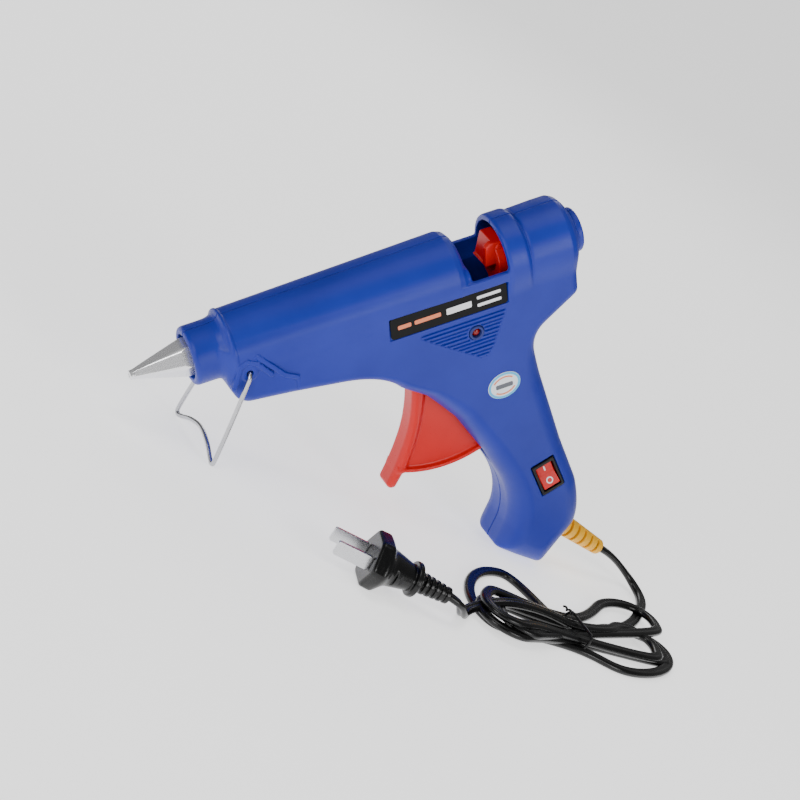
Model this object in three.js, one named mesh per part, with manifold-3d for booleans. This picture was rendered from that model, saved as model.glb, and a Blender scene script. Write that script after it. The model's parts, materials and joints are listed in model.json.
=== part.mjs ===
// Corded hot-melt glue gun, standing on its wire stand and the foot of its handle.
// The gun is modelled level: x runs back from the nozzle tip, y up, z to its left side.
// The finished group is then pitched nose down onto the table and centred on its footprint.
import * as THREE from 'three';
import { mergeVertices } from 'three/addons/utils/BufferGeometryUtils.js';
import Module from 'manifold-3d';

const wasm = await Module();
wasm.setup();

// ---------- driving dimensions, mm and degrees ----------
const PITCH = 40.3;              // nose-down angle of the barrel on the table
const TABLE_OFFSET = 17.4;       // distance from the nozzle tip down to the table
const WALL = 2.2;                // housing wall
const SPLIT = 0.15;              // half of the gap between the two housing halves
const GAP = 0.3;                 // clearance between touching pieces
const SIDE = 15.8;               // half width of the handle
const NOSE_SIDE = 14.7;          // half width of the belly behind the collar

const COLLAR = { x: 24.6, r: 12.5, bore: 9.4 };
const BARREL = { front: 41, back: 145, rFront: 14.9, rBack: 17.4 };
const WINDOW = { front: 145, back: 162, floor: 1.7 };
const HOOD = { r: 17.9, inner: 15.3, back: 172 };
const INLET = { x: 200.4, r: 9.7, bore: 6.3, block: 176 };
const REAR = 194;                // flat back of the housing

const PIVOT = [129.8, -42.7];    // trigger pin
const FAN_R = 52;                // radius of the trigger's lower flange
const PEG_ARM = 24;              // trigger pin to link peg
const PEG_LEAN = 10;             // lean of the link arm at rest, degrees
const STICK_BORE = 6.0;          // radius that the glue stick slides through
const CARRIAGE = { front: 154.3, back: 167 };

const STAND_PIN = [45.5, -7];
const WIRE_R = 0.95;
const FOOT_X = 22.2;

const SWITCH = { at: [172.4, -110.6], turn: 14.9, length: 17.4, width: 11 };
const LED = [145, -23.6];
const LABEL = { x: [107.3, 160.3], y: [-13.6, -3.5], face: 15.9 };
const STICKER = { at: [155.4, -54.6], long: 7.6, short: 6.4, turn: 8 };
const RELIEF = { from: [179, -147], dir: [0.63, -0.777], length: 36 };
const SCREWS = [[60, -18.4], [98, -24], [186, -15.4], [160, -36], [171, -91], [160, -145]];

const CORD_R = 1.25;
const PLUG = { face: [87, -82.5, 9], turn: 160, body: 38 };
const HANK = { bottom: 0.9, top: 9, tieX: 210, tieWidth: 3.4 };

const rad = THREE.MathUtils.degToRad;

// Height, in the level gun, at which the table crosses the distance x behind the nozzle tip.
const tableY = (x) => -(TABLE_OFFSET + x * Math.sin(rad(PITCH))) / Math.cos(rad(PITCH));
const FOOT = [FOOT_X, tableY(FOOT_X) + WIRE_R / Math.cos(rad(PITCH))];

// ---------- materials ----------
const finish = (color, roughness, metalness = 0) =>
  new THREE.MeshStandardMaterial({ color, roughness, metalness });
const BLUE = () => finish(0x2440b4, 0.45);
const RED = () => finish(0xe8281c, 0.35);
const BLACK = () => finish(0x0e0e10, 0.5);
const STEEL = () => finish(0xb9bcc2, 0.3, 1);

// ---------- solids and booleans ----------
function solid(geometry) {
  const bare = geometry.index ? geometry.toNonIndexed() : geometry.clone();
  bare.deleteAttribute('normal');
  bare.deleteAttribute('uv');
  const merged = mergeVertices(bare, 1e-4);
  const at = merged.attributes.position.array;
  const index = merged.index.array;
  const kept = [];
  let volume = 0;
  const a = new THREE.Vector3();
  const b = new THREE.Vector3();
  const c = new THREE.Vector3();
  for (let i = 0; i < index.length; i += 3) {
    const [p, q, r] = [index[i], index[i + 1], index[i + 2]];
    if (p === q || q === r || r === p) continue;
    kept.push(p, q, r);
    a.fromArray(at, 3 * p);
    b.fromArray(at, 3 * q);
    c.fromArray(at, 3 * r);
    volume += a.dot(b.cross(c));
  }
  if (volume < 0) {
    for (let i = 0; i < kept.length; i += 3) [kept[i], kept[i + 1]] = [kept[i + 1], kept[i]];
  }
  return new wasm.Manifold(new wasm.Mesh({
    numProp: 3,
    vertProperties: new Float32Array(at),
    triVerts: new Uint32Array(kept),
  }));
}

function geometryOf(manifold) {
  const mesh = manifold.getMesh();
  const geometry = new THREE.BufferGeometry();
  geometry.setAttribute('position', new THREE.BufferAttribute(new Float32Array(mesh.vertProperties), 3));
  geometry.setIndex(new THREE.BufferAttribute(new Uint32Array(mesh.triVerts), 1));
  geometry.computeVertexNormals();
  return geometry;
}

const join = (...parts) => parts.reduce((sum, part) => sum.add(part));
const cut = (body, ...tools) => tools.reduce((left, tool) => left.subtract(tool), body);

// ---------- shape helpers ----------
// Box between two opposite corners.
function box(x0, x1, y0, y1, z0, z1) {
  const geometry = new THREE.BoxGeometry(x1 - x0, y1 - y0, z1 - z0);
  return geometry.translate((x0 + x1) / 2, (y0 + y1) / 2, (z0 + z1) / 2);
}

// Round pin across the gun, from z0 to z1.
function pinZ(x, y, r, z0, z1, sides = 16) {
  const geometry = new THREE.CylinderGeometry(r, r, z1 - z0, sides).rotateX(Math.PI / 2);
  return geometry.translate(x, y, (z0 + z1) / 2);
}

// Solid of revolution about the barrel axis; the profile lists [x, radius] pairs.
function turned(profile, sides = 32) {
  const points = profile.map(([x, r]) => new THREE.Vector2(r, x));
  return new THREE.LatheGeometry(points, sides).rotateZ(-Math.PI / 2);
}

// Closed tube about the barrel axis, from x0 to x1.
function sleeve(x0, x1, outer, inner, sides = 24) {
  return turned([[x0, inner], [x0, outer], [x1, outer], [x1, inner], [x0, inner]], sides);
}

// Straight-sided plate across the gun.
function plate(shape, z0, z1) {
  return new THREE.ExtrudeGeometry(shape, { depth: z1 - z0, bevelEnabled: false, curveSegments: 6 })
    .translate(0, 0, z0);
}

const polygon = (points) => new THREE.Shape(points.map(([x, y]) => new THREE.Vector2(x, y)));

// Tube along a curve.
function tube(curve, r, steps, sides = 8) {
  const section = new THREE.Shape();
  section.absarc(0, 0, r, 0, 2 * Math.PI);
  return new THREE.ExtrudeGeometry(section, { extrudePath: curve, steps, curveSegments: sides / 2 });
}

const smooth = (points) => new THREE.CatmullRomCurve3(points.map((p) => new THREE.Vector3(...p)));

// ---------- housing ----------
// Side outline of belly, rear box and handle.
function bodyOutline() {
  const shape = new THREE.Shape();
  shape.moveTo(36, -5);
  shape.lineTo(36.5, -13);
  shape.lineTo(39.6, -20.6);
  shape.lineTo(43.5, -22.6);
  shape.lineTo(63, -24.8);
  shape.lineTo(86.5, -28.4);
  shape.quadraticCurveTo(104, -31.5, 110.5, -41.5);
  shape.lineTo(122, -51);
  shape.lineTo(135, -68.5);
  shape.lineTo(146, -90.5);
  shape.lineTo(151, -103);
  shape.quadraticCurveTo(159, -121, 153.5, -134.5);
  shape.lineTo(147, -145);
  shape.lineTo(155, tableY(155));
  shape.lineTo(167, tableY(167));
  shape.lineTo(185.5, -145.5);
  shape.quadraticCurveTo(190.3, -139, 188.6, -122);
  shape.lineTo(182.8, -98);
  shape.lineTo(173.3, -48);
  shape.quadraticCurveTo(170.6, -36.5, 177, -32);
  shape.lineTo(REAR, -21.4);
  shape.lineTo(REAR, 6);
  shape.lineTo(36, 6);
  return shape;
}

// The outline as a rounded slab, drawn in by inset all round and narrower at the nose.
function bodySlab(inset, bevel) {
  const geometry = new THREE.ExtrudeGeometry(bodyOutline(), {
    depth: 2 * (SIDE - inset - bevel),
    bevelThickness: bevel,
    bevelSize: bevel,
    bevelOffset: -bevel - inset,
    bevelSegments: 2,
    curveSegments: 4,
  }).translate(0, 0, -(SIDE - inset - bevel));
  const at = geometry.attributes.position;
  for (let i = 0; i < at.count; i += 1) {
    const along = THREE.MathUtils.clamp((at.getX(i) - 40) / 80, 0, 1);
    at.setZ(i, at.getZ(i) * THREE.MathUtils.lerp(NOSE_SIDE / SIDE, 1, along));
  }
  return solid(geometry);
}

function barrelSkin() {
  return solid(turned([
    [COLLAR.x, 0], [COLLAR.x, COLLAR.r - 1.5], [COLLAR.x + 1.5, COLLAR.r], [33, COLLAR.r],
    [38.5, 13.4], [BARREL.front, BARREL.rFront], [BARREL.back - 5, BARREL.rBack],
    [BARREL.back, BARREL.rBack], [WINDOW.back, BARREL.rBack], [WINDOW.back + 1, HOOD.r],
    [HOOD.back, HOOD.r], [HOOD.back + 0.8, 16.8], [191.5, 17.4], [REAR - 0.5, 15.6],
    [196.6, 11], [198.4, INLET.r], [INLET.x, INLET.r - 0.8], [INLET.x, 0],
  ], 36));
}

function barrelHollow() {
  return solid(turned([
    [COLLAR.x - 1, 0], [COLLAR.x - 1, COLLAR.bore], [44, COLLAR.bore], [46, 12.4],
    [140, 15.1], [INLET.block, 15.1], [INLET.block, INLET.bore], [INLET.x + 1, INLET.bore],
    [INLET.x + 1, 0],
  ], 32));
}

// Gap in the front of the handle that the trigger swings through.
function triggerSlot() {
  const slot = [[108, -30], [104, -60], [124, -101], [150.5, -100.5], [156, -96], [142, -66], [126, -40]];
  return solid(plate(polygon(slot), -6.4, 6.4));
}

function screwBoss([x, y]) {
  return solid(pinZ(x, y, 4.2, -14.2, 14.2));
}

function screwHole([x, y]) {
  return join(solid(pinZ(x, y, 3.5, -20, -10)), solid(pinZ(x, y, 1.6, -11, 9, 12)));
}

// Ring-shaped ribs that carry the heater, sleeve and guide.
function rib(x, hole) {
  return cut(solid(box(x, x + 2, -11.5, 20, -20, 20)), solid(sleeve(x - 1, x + 3, hole, 0, 24)));
}

function switchFrame(length, width, z0, z1) {
  const plan = new THREE.BoxGeometry(width, length, z1 - z0).translate(0, 0, (z0 + z1) / 2);
  return plan.rotateZ(rad(SWITCH.turn)).translate(SWITCH.at[0], SWITCH.at[1], 0);
}

// Cylinder along the strain relief's axis, between two distances from the handle face.
function reliefSection(profile, sides = 16) {
  const points = profile.map(([along, r]) => new THREE.Vector2(r, along));
  const turn = Math.atan2(RELIEF.dir[1], RELIEF.dir[0]) - Math.PI / 2;
  return new THREE.LatheGeometry(points, sides).rotateZ(turn)
    .translate(RELIEF.from[0], RELIEF.from[1], 0);
}

function housing() {
  const skin = join(barrelSkin(), bodySlab(0, 5));
  const inletBlock = solid(turned([[INLET.block, 0], [INLET.block, 9.2], [REAR, 9.2], [REAR, 0]], 24));
  const rooms = join(barrelHollow(), cut(bodySlab(WALL, 4), inletBlock));
  const kept = join(...SCREWS.map(screwBoss), rib(50, 12.2), rib(96, 8.3), rib(126, 8.9));
  const window = join(
    solid(box(WINDOW.front, WINDOW.back, WINDOW.floor, 24, -20, 20)),
    solid(sleeve(WINDOW.front + 2, INLET.block, HOOD.inner, 0, 32)).subtract(
      solid(box(0, 220, -20, WINDOW.floor, -20, 20))),
  );
  return cut(
    skin, cut(rooms, kept), window, triggerSlot(), ...SCREWS.map(screwHole),
    solid(pinZ(...STAND_PIN, WIRE_R + GAP, -20, 20, 12)),
    solid(pinZ(...PIVOT, 2.3, -14, 14, 16)),
    solid(pinZ(...LED, 2.4, 10, 20, 12)),
    solid(switchFrame(SWITCH.length + 0.6, SWITCH.width + 0.6, 12.6, 20)),
    solid(switchFrame(SWITCH.length - 3, SWITCH.width - 1.2, 0, 20)),
    solid(box(LABEL.x[0] - GAP, LABEL.x[1] + GAP, LABEL.y[0] - GAP, LABEL.y[1] + GAP, LABEL.face - 1, 20)),
    solid(reliefSection([[-14, 0], [-14, 4.6], [-3, 4.6], [-3, 5.9], [6, 5.9], [6, 0]])),
    solid(sleeve(48.6, 56.4, 12.4, 0, 24)),
  );
}

// ---------- heater and feed ----------
function nozzle() {
  const cone = solid(turned([[0, 0], [0, 1.3], [0.8, 1.7], [22, 7.4], [22, 0]], 24));
  const hexagon = new THREE.CylinderGeometry(8.1, 8.1, 13, 6).rotateZ(Math.PI / 2).translate(25.5, 0, 0);
  const limit = solid(turned([[17, 0], [17, 6.1], [24.8, 8.2], [34, 8.2], [34, 0]], 24));
  const hex = solid(hexagon).intersect(limit);
  const bore = solid(turned([[-1, 0], [-1, 0.8], [8, 0.8], [20, 3.6], [35, 3.6], [35, 0]], 12));
  return cut(join(cone, hex), bore);
}

function meltChamber() {
  const barrel = solid(sleeve(32.4, 85.7, 7.6, 5.8, 24));
  const shelf = solid(box(56.8, 80, -9.4, -6.9, -5, 5));
  const nose = solid(turned([[31, 0], [31, 20], [32.4, 20], [32.4, 0]]));
  return cut(join(barrel, shelf), nose, solid(sleeve(32, 34.3, 9, 0, 24)));
}

// ---------- trigger, link and carriage ----------
const pegLean = rad(PEG_LEAN);
const PEG = [PIVOT[0] + PEG_ARM * Math.sin(pegLean), PIVOT[1] + PEG_ARM * Math.cos(pegLean)];

function fan(inner, outer, from, to) {
  const shape = new THREE.Shape();
  shape.absarc(...PIVOT, outer, rad(from), rad(to));
  if (inner > 0) shape.absarc(...PIVOT, inner, rad(to), rad(from), true);
  else shape.lineTo(...PIVOT);
  return shape;
}

function trigger() {
  const blade = new THREE.Shape();
  blade.moveTo(116, -40);
  blade.lineTo(118.3, -46);
  blade.quadraticCurveTo(117.6, -62, 113, -73.5);
  blade.quadraticCurveTo(109, -83.5, 101.6, -94.4);
  blade.quadraticCurveTo(101.6, -98, 105.4, -97.2);
  blade.lineTo(111.4, -89);
  blade.quadraticCurveTo(120, -74, 123.6, -54);
  blade.lineTo(124, -40);
  const arm = polygon([
    [PIVOT[0] - 4, PIVOT[1]], [PIVOT[0] + 4, PIVOT[1]],
    [PEG[0] + 3, PEG[1] + 1], [PEG[0], PEG[1] + 3], [PEG[0] - 3, PEG[1] + 1],
  ]);
  const body = join(
    solid(plate(blade, -5.5, 5.5)),
    solid(plate(fan(0, FAN_R - 1, -117, -62), -3.6, 3.6)),
    solid(plate(fan(FAN_R - 2, FAN_R, -117, -62), -5.5, 5.5)),
    solid(pinZ(...PIVOT, 6, -5.5, 5.5)),
    solid(plate(arm, -2.6, 2.6)),
    solid(pinZ(...PEG, 1.8, -2.6, 6.4, 12)),
  );
  return cut(body, solid(pinZ(...PIVOT, 2.2, -8, 8)));
}

function carriage() {
  const ring = solid(turned([
    [CARRIAGE.front, STICK_BORE], [CARRIAGE.front, 10.6], [CARRIAGE.back, 10.6],
    [CARRIAGE.back, STICK_BORE], [CARRIAGE.front, STICK_BORE],
  ], 28));
  const foot = solid(box(156.5, CARRIAGE.back, -16, -8.5, -3.2, 3.2));
  const stick = solid(sleeve(150, 180, STICK_BORE, 0, 28));
  const pocket = solid(box(154, 165.3, 6.4, 16, -6.3, 6.3));
  return cut(join(ring, foot), stick, pocket);
}

// Wedge that tips against the glue stick and grips it.
function stickGripper() {
  return plate(polygon([[154.6, 7.2], [165, 6.7], [165, 13.5], [158.6, 13.5], [154.6, 10.4]]), -6, 6);
}

function pushLink() {
  const bar = polygon([[130, -22.6], [164, -19.2], [166, -10], [158, -10], [155, -14], [138, -15.2], [130, -15.8]]);
  const slot = polygon([[131.6, -21.5], [136.4, -21.5], [136.4, -16.6], [131.6, -16.6]]);
  return cut(solid(plate(bar, 3.6, 5.8)), solid(plate(slot, 3, 7)));
}

// Torsion spring around the trigger pin.
class SpringCoil extends THREE.Curve {
  getPoint(t, target = new THREE.Vector3()) {
    const turn = t * 4 * 2 * Math.PI;
    return target.set(PIVOT[0] + 4 * Math.cos(turn), PIVOT[1] + 4 * Math.sin(turn), 6.6 + 5 * t);
  }
}

// ---------- wire stand ----------
function standWire() {
  const half = (side) => [
    [STAND_PIN[0], STAND_PIN[1], side * 11.6], [STAND_PIN[0], STAND_PIN[1], side * 14.6],
    [STAND_PIN[0] - 0.8, STAND_PIN[1] - 1.4, side * 16.4],
    [STAND_PIN[0] - 2.4, STAND_PIN[1] - 3.8, side * 17],
    [33.5, -24.4, side * 19.2], [FOOT[0] + 1.6, FOOT[1] + 2.6, side * 21.1],
    [FOOT[0], FOOT[1], side * 20.1], [FOOT[0] + 0.5, FOOT[1] + 0.4, side * 16.8],
    [FOOT[0] + 2.4, FOOT[1] + 2.8, side * 9.4],
  ];
  const left = half(1);
  const right = half(-1).reverse();
  return tube(smooth([...left, [FOOT[0] + 3.5, FOOT[1] + 4.3, 0], ...right]), WIRE_R, 72, 8);
}

// ---------- internal wiring ----------
const leadRoute = (z) => smooth([
  [170, -120, z], [176, -104, z], [176.6, -89, z], [171.5, -68, z], [165, -52, z],
  [155, -44, z], [140, -30, z], [118, -19, z], [98, -15, z], [84, -13, z],
]);

// ---------- plug, in its own frame: blades along +x, cord along -x ----------
function plugBody() {
  const face = polygon([[0, -12.5], [9, -6], [9, 6], [0, 12.5], [-9, 6], [-9, -6]]);
  const head = new THREE.ExtrudeGeometry(face, {
    depth: 5, bevelThickness: 1, bevelSize: 1, bevelOffset: -1, bevelSegments: 1,
  }).rotateY(Math.PI / 2).translate(-6, 0, 0);
  const neck = turned([[-22, 0], [-22, 6], [-6.5, 8], [-5, 8], [-5, 0]], 16);
  const relief = turned([[-PLUG.body, 0], [-PLUG.body, 3.4], [-21.5, 5], [-21.5, 0]], 16);
  return join(solid(head), solid(neck), solid(relief));
}

function plugBlade(side) {
  const y = side * 6.35;
  return box(GAP, 17, y - 0.75, y + 0.75, -3.15, 3.15);
}

// ---------- cord on the table ----------
const leadOut = smooth([
  [267.4, 0, 14.2], [272, 0.4, 13.4], [278, 1, 11.8], [284, 1.4, 9.6], [290, 1, 6.9],
  [294.4, -1, 4.6], [296.8, -5, 2.8], [296.6, -11, 1.8], [293.6, -17, 1.4], [289.6, -22.4, 1.3],
]);
const leadTail = smooth([
  [147.6, -82.6, 2.6], [144.8, -84.4, 2], [141.2, -87.6, 1.8], [137.6, -91.6, 2.9],
  [134, -94.6, 5.2], [130.4, -96.7, 7.8], [126.8, -97, 8.7], [123.1, -95.6, 9],
]);

// Outside shape of the wound bundle: two loose lobes, drawn in where the tie holds it.
const bundleEdge = [
  [228, -58], [245, -44], [262, -33], [276, -26.5], [286, -28], [287, -38], [283, -52],
  [270, -70], [252, -85], [234, -93.5], [221, -92.5], [212, -85.2], [208, -85.2], [196, -91],
  [178, -97.5], [160, -97.5], [150.5, -90], [150.5, -76], [160, -62], [176, -44], [192, -31],
  [204, -29], [209, -38], [209, -56], [208, -69], [212, -69],
];

function hank() {
  const outline = new THREE.Shape();
  outline.moveTo(212, -69);
  outline.splineThru(bundleEdge.map(([x, y]) => new THREE.Vector2(x, y)));
  return new THREE.ExtrudeGeometry(outline, {
    depth: HANK.top - HANK.bottom, bevelEnabled: false, curveSegments: 2,
  }).translate(0, 0, HANK.bottom);
}

function hankTie() {
  const x0 = HANK.tieX - HANK.tieWidth / 2;
  const x1 = HANK.tieX + HANK.tieWidth / 2;
  const outer = solid(box(x0, x1, -87.2, -66.8, 0, HANK.top + 1.6));
  return cut(outer, solid(box(x0 - 1, x1 + 1, -85.8, -68.2, HANK.bottom - 0.5, HANK.top + GAP)));
}

// ---------- assembly ----------
const gun = new THREE.Group();
function add(parent, name, shape, material) {
  const geometry = shape instanceof wasm.Manifold ? shape : solid(shape);
  const mesh = new THREE.Mesh(geometryOf(geometry), material);
  mesh.name = name;
  parent.add(mesh);
  return mesh;
}

const shell = housing();
const reliefBody = reliefSection([
  [-2.7, 0], [-2.7, 5.6], [0, 5.6], [0, 5.3], [RELIEF.length, 3.6], [RELIEF.length, 0],
]);
const leftHalf = shell.intersect(solid(box(0, 220, -180, 40, SPLIT, 30)));
const rightHalf = shell.intersect(solid(box(0, 220, -180, 40, -30, -SPLIT)));
add(gun, 'left_housing', leftHalf, BLUE());
add(gun, 'right_housing', rightHalf, BLUE());

add(gun, 'nozzle', nozzle(), STEEL());
add(gun, 'melt_chamber', meltChamber(), finish(0xc8cace, 0.4, 1));
add(gun, 'ptc_heater', box(58, 79, -12.2, -9.7, -4.4, 4.4), finish(0xe8e4da, 0.6));
add(gun, 'heater_clamp', box(60, 76, -13.8, -12.5, -5.4, 5.4), STEEL());
add(gun, 'front_heat_ring', sleeve(48.9, 56.1, 12.1, 7.9), finish(0xe6e2d8, 0.7));
add(gun, 'feed_sleeve', sleeve(86, 118, 8, 5.9), finish(0xb5301f, 0.7));
add(gun, 'sleeve_clip', cut(solid(sleeve(100, 103, 9.4, 8.3)), solid(box(99, 104, 0, 12, -1.5, 1.5))), STEEL());
add(gun, 'stick_guide', sleeve(118.3, 143.6, 8.6, 6.4), finish(0xd8d4c8, 0.6));

add(gun, 'trigger', trigger(), RED());
add(gun, 'trigger_pin', pinZ(...PIVOT, 2, -13.2, 13.2), STEEL());
add(gun, 'return_spring', tube(new SpringCoil(), 0.45, 56, 6), STEEL());
add(gun, 'carriage', carriage(), RED());
add(gun, 'stick_gripper', stickGripper(), RED());
add(gun, 'push_link', pushLink(), finish(0xd8d4c8, 0.6));
add(gun, 'stand_wire', standWire(), STEEL());

const labelBox = box(...LABEL.x, ...LABEL.y, LABEL.face - 0.7, LABEL.face);
add(gun, 'label_plate', labelBox, BLACK());
const stickerShape = new THREE.Shape();
stickerShape.absellipse(0, 0, STICKER.long, STICKER.short, 0, 2 * Math.PI, false, rad(STICKER.turn));
add(gun, 'rating_sticker', plate(stickerShape, SIDE + 0.1, SIDE + 0.4)
  .translate(...STICKER.at, 0), finish(0xf2f4f6, 0.3));
add(gun, 'led_lens', pinZ(...LED, 2, 10.9, 15.4, 12), finish(0xb01010, 0.15));
add(gun, 'led_board', box(LED[0] - 6, LED[0] + 6, LED[1] - 5.5, LED[1] + 5.5, 9.4, 10.6), finish(0x1f6b3a, 0.6));

const frame = solid(switchFrame(SWITCH.length, SWITCH.width, 12.9, 15.7));
const can = solid(switchFrame(SWITCH.length - 3.6, SWITCH.width - 1.8, 2, 13.2));
const well = solid(switchFrame(SWITCH.length - 3.4, SWITCH.width - 2.4, 8.4, 20));
add(gun, 'switch_body', cut(join(frame, can), cut(well, solid(switchFrame(40, 40, 0, 9)))), BLACK());
const rockerSide = polygon([[-6.1, 15.6], [0, 14.2], [6.1, 15.6], [5.7, 10.4], [-5.7, 10.4]]);
const rocker = plate(rockerSide, -3.9, 3.9).translate(0, -11.5, 0).rotateZ(rad(-8)).translate(0, 11.5, 0);
rocker.rotateY(Math.PI / 2).rotateX(Math.PI / 2).rotateZ(rad(SWITCH.turn)).translate(...SWITCH.at, 0);
add(gun, 'switch_rocker', rocker, RED());

SCREWS.forEach(([x, y], i) => {
  const head = solid(pinZ(x, y, 3.1, -12.6, -10.3));
  const shank = solid(pinZ(x, y, 1.3, -10.8, 7.5, 10));
  add(gun, `housing_screw_${i + 1}`, join(head, shank), STEEL());
});
add(gun, 'heater_lead_1', tube(leadRoute(-8), 0.8, 40, 6), finish(0xd8d8d8, 0.6));
add(gun, 'heater_lead_2', tube(leadRoute(-10.6), 0.8, 40, 6), finish(0xd8d8d8, 0.6));
add(gun, 'cord_clamp', box(161, 173, -133.6, -128.4, -10, -4), BLACK());
add(gun, 'strain_relief', reliefBody, finish(0xf2c53a, 0.5));

// Level gun to standing gun: turn it upright, then pitch it nose down.
const upright = new THREE.Group();
upright.rotation.x = Math.PI / 2;
upright.add(gun);
const standing = new THREE.Group();
standing.rotation.y = -rad(PITCH);
standing.position.z = TABLE_OFFSET;
standing.add(upright);

const cordage = new THREE.Group();
add(cordage, 'power_cord', tube(leadOut, CORD_R, 26), BLACK());
add(cordage, 'cord_hank', hank(), BLACK());
add(cordage, 'cord_tie', hankTie(), BLACK());
add(cordage, 'cord_tail', tube(leadTail, CORD_R, 12), BLACK());
const plug = new THREE.Group();
plug.position.set(...PLUG.face);
plug.rotation.z = rad(PLUG.turn);
add(plug, 'plug_body', plugBody(), BLACK());
add(plug, 'plug_blade_1', plugBlade(1), STEEL());
add(plug, 'plug_blade_2', plugBlade(-1), STEEL());
cordage.add(plug);

const object = new THREE.Group();
object.add(standing, cordage);
object.updateMatrixWorld(true);

// Centre the gun's footprint on the origin, without the cord and its strain relief.
const footprint = new THREE.Box3();
gun.children.filter((mesh) => mesh.name !== 'strain_relief')
  .forEach((mesh) => footprint.expandByObject(mesh, true));
const middle = footprint.getCenter(new THREE.Vector3());
object.position.set(-middle.x, -middle.y, -footprint.min.z);

export default object;
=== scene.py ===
import json
import math

import bpy
import numpy as np
from mathutils import Matrix, Vector


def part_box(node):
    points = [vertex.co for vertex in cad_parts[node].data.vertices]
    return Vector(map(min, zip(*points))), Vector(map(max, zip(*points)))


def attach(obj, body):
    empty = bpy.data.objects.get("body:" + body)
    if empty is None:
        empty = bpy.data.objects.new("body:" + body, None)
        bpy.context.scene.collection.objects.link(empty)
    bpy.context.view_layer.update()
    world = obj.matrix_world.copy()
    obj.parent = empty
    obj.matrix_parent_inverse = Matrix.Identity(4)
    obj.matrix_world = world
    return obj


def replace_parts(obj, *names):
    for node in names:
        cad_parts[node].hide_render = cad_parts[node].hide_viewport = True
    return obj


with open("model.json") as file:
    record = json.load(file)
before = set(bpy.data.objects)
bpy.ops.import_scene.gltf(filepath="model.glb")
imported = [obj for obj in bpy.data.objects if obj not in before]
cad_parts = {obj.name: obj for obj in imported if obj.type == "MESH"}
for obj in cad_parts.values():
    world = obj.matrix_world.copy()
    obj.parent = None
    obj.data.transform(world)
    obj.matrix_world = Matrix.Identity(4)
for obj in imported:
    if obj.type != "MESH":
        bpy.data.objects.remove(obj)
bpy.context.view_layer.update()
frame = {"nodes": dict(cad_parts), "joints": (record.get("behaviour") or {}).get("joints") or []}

# The gun is worked out level, in millimetres: x back from the nozzle tip, y up, z to its left side.
# GUN takes that frame to the row frame, in metres. CORDAGE does the same for the table in front.
MM = 0.001
PITCH = math.radians(40.3)
PIVOT = (129.8, -42.7)
STAND_PIN = (45.5, -7.0)
LED = (145.0, -23.6)
LABEL = ((107.3, -13.6), (160.3, -3.5))
LABEL_FACE = 15.9
STICKER = (155.4, -54.6)
SWITCH = (172.4, -110.6)
SWITCH_TURN = math.radians(14.9)
RELIEF_FROM = (179.0, -147.0)
RELIEF_DIRECTION = (0.63, -0.777)
SCREWS = ((60, -18.4), (98, -24), (186, -15.4), (160, -36), (171, -91), (160, -145))
SIDE = 15.8
FINE = 0.5     # grid step of the housing, mm

joints = {joint["name"]: joint for joint in frame["joints"]}
back = Vector((math.cos(PITCH), 0, math.sin(PITCH)))
up = Vector((-math.sin(PITCH), 0, math.cos(PITCH)))
tip = Vector(joints["trigger_pull"]["pos_m"]) - (back * PIVOT[0] + up * PIVOT[1]) * MM


def placed(x_axis, y_axis, z_axis, origin):
    """The matrix of a millimetre frame with these axes, at a point of the row frame."""
    columns = [list(axis * MM) + [0] for axis in (x_axis, y_axis, z_axis)] + [list(origin) + [1]]
    return Matrix(columns).transposed()


GUN = placed(back, up, Vector((0, -1, 0)), tip)
CORDAGE = placed(Vector((1, 0, 0)), Vector((0, 1, 0)), Vector((0, 0, 1)),
                 Vector((tip.x, 0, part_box("cord_tie")[0].z)))


# ---------- camera ----------
def camera():
    data = bpy.data.cameras.new("camera")
    data.lens = 120
    data.sensor_width = 36
    data.clip_end = 50
    view = bpy.data.objects.new("camera", data)
    right = Vector((0.752877, -0.408446, 0.516088))
    top = Vector((-0.281012, 0.50958, 0.813241))
    behind = Vector((-0.595153, -0.757298, 0.268873))
    view.matrix_world = placed(right / MM, top / MM, behind / MM, Vector((-0.6679, -0.8572, 0.3523)))
    bpy.context.scene.collection.objects.link(view)
    bpy.context.scene.camera = view


camera()


# ---------- materials ----------
def node(tree, kind, **values):
    made = tree.nodes.new("ShaderNode" + kind)
    for name, value in values.items():
        made.inputs[name].default_value = value
    return made


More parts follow.
